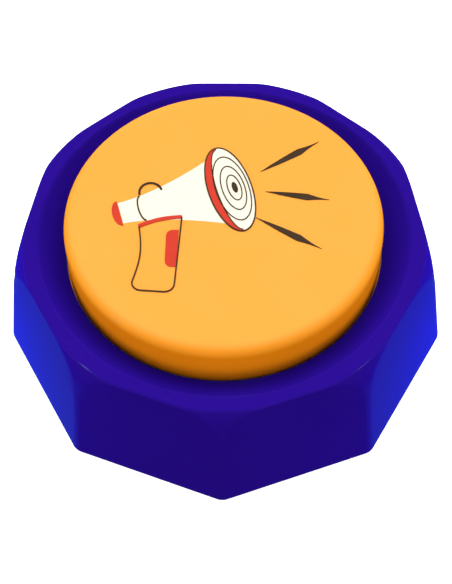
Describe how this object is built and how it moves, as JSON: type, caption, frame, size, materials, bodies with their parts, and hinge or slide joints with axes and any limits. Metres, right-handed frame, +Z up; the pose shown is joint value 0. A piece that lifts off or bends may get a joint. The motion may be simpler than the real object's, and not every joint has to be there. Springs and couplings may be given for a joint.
{
  "type": "quiz buzzer",
  "caption": "Nine-sided tabletop buzzer with one big sprung round push button, a speaker, a record key, a slide switch and a battery door underneath.",
  "frame": {"origin": "on the table plane under the rubber feet, at the middle of the footprint's bounding box; the button's axis is at y = 1.242 mm", "axes": "+Z up along the button's axis, -Y towards the player, where one corner of the nine-sided shell points, +X to the player's right"},
  "size_m": [0.0904, 0.089, 0.0335],
  "materials": {
    "shell": "glossy injection-moulded blue ABS",
    "button": "glossy yellow-orange ABS with a printed picture",
    "chassis": "plain moulded white plastic",
    "rubber": "matt black rubber",
    "silicone": "soft grey silicone",
    "black": "moulded black plastic and potting",
    "steel": "zinc-plated or nickel-plated steel",
    "board": "green solder mask on glass-fibre board",
    "paper": "pressed black speaker paper",
    "can": "shrink sleeve on an aluminium can",
    "cell": "plain printed steel battery can",
    "wire_red": "red wire insulation",
    "wire_black": "black wire insulation",
    "ribbon": "grey flat cable"
  },
  "bodies": {
    "base": {"outer_housing": "shell", "chassis_plate": "chassis", "bottom_cover": "shell", "cover_screw_1": "steel", "cover_screw_2": "steel", "cover_screw_3": "steel", "chassis_screw_1": "steel", "chassis_screw_2": "steel", "chassis_screw_3": "steel", "rubber_foot_1": "rubber", "rubber_foot_2": "rubber", "rubber_foot_3": "rubber", "rubber_foot_4": "rubber", "return_spring_1": "steel", "return_spring_2": "steel", "return_spring_3": "steel", "dome_switch": "silicone", "circuit_board": "board", "board_screw_1": "steel", "board_screw_2": "steel", "sound_chip": "black", "capacitor": "can", "speaker_frame": "steel", "speaker_magnet": "steel", "speaker_cone": "paper", "speaker_clamp_ring": "steel", "clamp_screw_1": "steel", "clamp_screw_2": "steel", "battery_1": "cell", "battery_2": "cell", "positive_contact_plate": "steel", "negative_contact_plate": "steel", "bridge_contact_plate": "steel", "negative_contact_spring": "steel", "bridge_contact_spring": "steel", "control_board": "board", "control_board_screw_1": "steel", "control_board_screw_2": "steel", "record_switch_body": "black", "slide_switch_body": "steel", "microphone_capsule": "steel", "microphone_boot": "rubber", "battery_wire_red": "wire_red", "battery_wire_black": "wire_black", "speaker_wire_1": "wire_red", "speaker_wire_2": "wire_black", "control_ribbon": "ribbon"},
    "button": {"button_cap": "button", "contact_pill": "rubber"},
    "record_key": {"record_key": "button", "record_switch_plunger": "chassis"},
    "slide_knob": {"slide_switch_knob": "black"},
    "battery_door": {"battery_door": "shell", "battery_door_screw": "steel"}
  },
  "joints": [
    {"name": "button_press", "type": "slide", "parent": "base", "child": "button", "axis": [0, 0, -1], "range_m": [0, 0.0025], "stiffness_N_per_m": 600, "springref_m": -0.0015, "deforming": ["return_spring_1", "return_spring_2", "return_spring_3", "dome_switch"]},
    {"name": "record_key_press", "type": "slide", "parent": "base", "child": "record_key", "axis": [0, 0, 1], "range_m": [0, 0.0003], "stiffness_N_per_m": 1000, "springref_m": -0.0003},
    {"name": "slide_switch", "type": "slide", "parent": "base", "child": "slide_knob", "axis": [0, 1, 0], "range_m": [0, 0.002]},
    {"name": "battery_door_removal", "type": "slide", "parent": "base", "child": "battery_door", "axis": [0, 0, -1], "range_m": [0, 0.03]}
  ]
}
